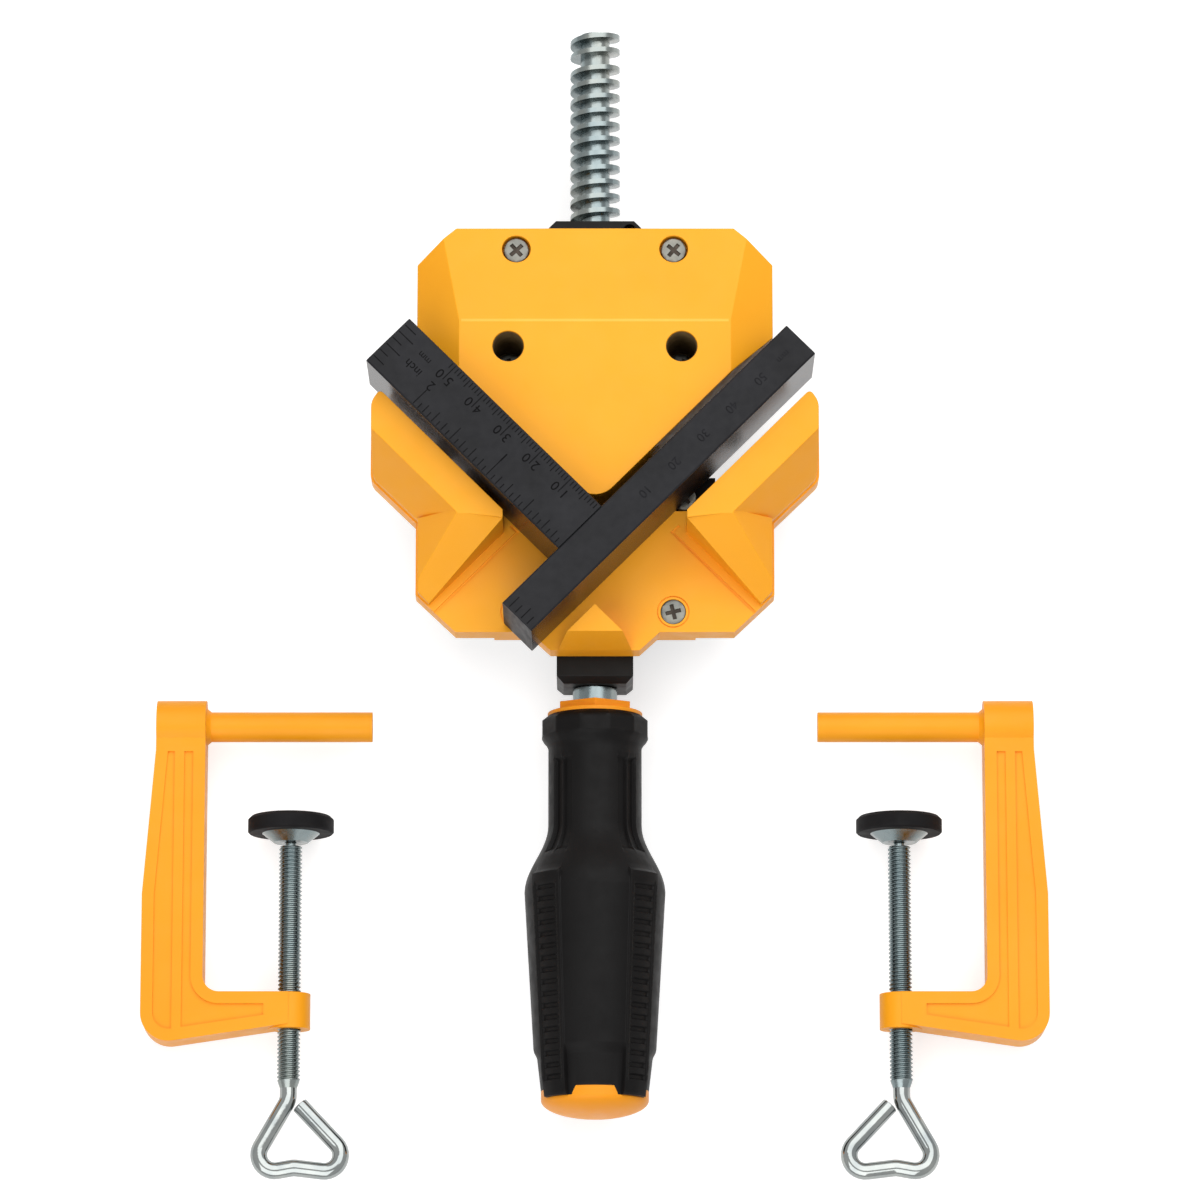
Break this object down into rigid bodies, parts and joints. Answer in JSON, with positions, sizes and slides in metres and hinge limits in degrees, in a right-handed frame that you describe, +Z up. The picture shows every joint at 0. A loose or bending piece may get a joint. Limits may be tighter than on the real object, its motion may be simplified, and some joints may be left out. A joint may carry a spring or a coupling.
{
  "type": "corner clamp",
  "caption": "Screw-driven corner clamp with a V jaw and angled fences for holding boards at a right angle, with a removable ruler square and bench clamps.",
  "frame": {"origin": "on the bench face, below the corner where the two fence faces meet", "axes": "+Z up from the bench, +Y from the handle to the jaw along the screw, +X to the right seen from the handle"},
  "size_m": [0.2246, 0.2913, 0.0596],
  "materials": {
    "yellow_casting": "satin powder coat",
    "black_casting": "matt black coat",
    "black_nylon": "moulded, fine grain",
    "zinc_steel": "bright zinc plating",
    "nut_brass": "turned",
    "yellow_plastic": "satin moulded",
    "grip_rubber": "soft-touch",
    "square_black": "matt with engraved marks",
    "pad_rubber": "moulded"
  },
  "bodies": {
    "base": {"base_casting": "yellow_casting", "left_fence": "yellow_casting", "right_fence": "yellow_casting", "underframe": "black_casting", "guide_plate": "black_casting", "front_bushing": "black_nylon", "base_screws": "zinc_steel", "guide_screws": "zinc_steel", "fence_screws": "zinc_steel"},
    "jaw": {"jaw_block": "yellow_casting", "slide_shoe": "black_nylon", "nut_housing": "black_nylon", "lead_nut": "nut_brass", "jaw_top_screws": "zinc_steel", "jaw_deep_screws": "zinc_steel", "housing_screws": "zinc_steel"},
    "spindle": {"lead_screw": "zinc_steel", "thrust_collar": "zinc_steel", "handle_core": "yellow_plastic", "handle_grip": "grip_rubber"},
    "square": {"square_stem": "square_black", "square_head": "square_black", "square_dowels": "zinc_steel"},
    "left_clamp": {"left_bench_frame": "yellow_casting"},
    "left_ball": {"left_ball_stud": "zinc_steel"},
    "left_handle": {"left_bench_screw": "zinc_steel"},
    "left_pad": {"left_bench_cup": "zinc_steel", "left_bench_pad": "pad_rubber"},
    "right_clamp": {"right_bench_frame": "yellow_casting"},
    "right_ball": {"right_ball_stud": "zinc_steel"},
    "right_handle": {"right_bench_screw": "zinc_steel"},
    "right_pad": {"right_bench_cup": "zinc_steel", "right_bench_pad": "pad_rubber"}
  },
  "joints": [
    {"name": "spindle_turn", "type": "hinge", "parent": "base", "child": "spindle", "pos_m": [0, 0, 0.0178], "axis": [0, 1, 0], "range_deg": [-4225, 0]},
    {"name": "jaw_slide", "type": "slide", "parent": "base", "child": "jaw", "axis": [0, 1, 0], "range_m": [0, 0.044]},
    {"name": "square_lift", "type": "slide", "parent": "base", "child": "square", "axis": [0, 0, 1], "range_m": [0, 0.035]},
    {"name": "left_clamp_lift", "type": "slide", "parent": "base", "child": "left_clamp", "axis": [0, 0, 1], "range_m": [0, 0.07]},
    {"name": "left_feed", "type": "slide", "parent": "left_clamp", "child": "left_ball", "axis": [0, 1, 0], "range_m": [-0.036, 0.013]},
    {"name": "left_turn", "type": "hinge", "parent": "left_ball", "child": "left_handle", "pos_m": [-0.07575, -0.09, 0.0107], "axis": [0, 1, 0], "range_deg": [-12961, 4681]},
    {"name": "left_pad_tilt", "type": "hinge", "parent": "left_ball", "child": "left_pad", "pos_m": [-0.07575, -0.0514, 0.0107], "axis": [1, 0, 0], "range_deg": [-6, 6]},
    {"name": "right_clamp_lift", "type": "slide", "parent": "base", "child": "right_clamp", "axis": [0, 0, 1], "range_m": [0, 0.07]},
    {"name": "right_feed", "type": "slide", "parent": "right_clamp", "child": "right_ball", "axis": [0, 1, 0], "range_m": [-0.036, 0.013]},
    {"name": "right_turn", "type": "hinge", "parent": "right_ball", "child": "right_handle", "pos_m": [0.07575, -0.09, 0.0107], "axis": [0, 1, 0], "range_deg": [-12961, 4681]},
    {"name": "right_pad_tilt", "type": "hinge", "parent": "right_ball", "child": "right_pad", "pos_m": [0.07575, -0.0514, 0.0107], "axis": [1, 0, 0], "range_deg": [-6, 6]}
  ],
  "couplings": [
    {"joint": "spindle_turn", "follows": "jaw_slide", "rad_per_m": -1675.5},
    {"joint": "left_turn", "follows": "left_feed", "rad_per_m": 6283.2},
    {"joint": "right_turn", "follows": "right_feed", "rad_per_m": 6283.2}
  ]
}
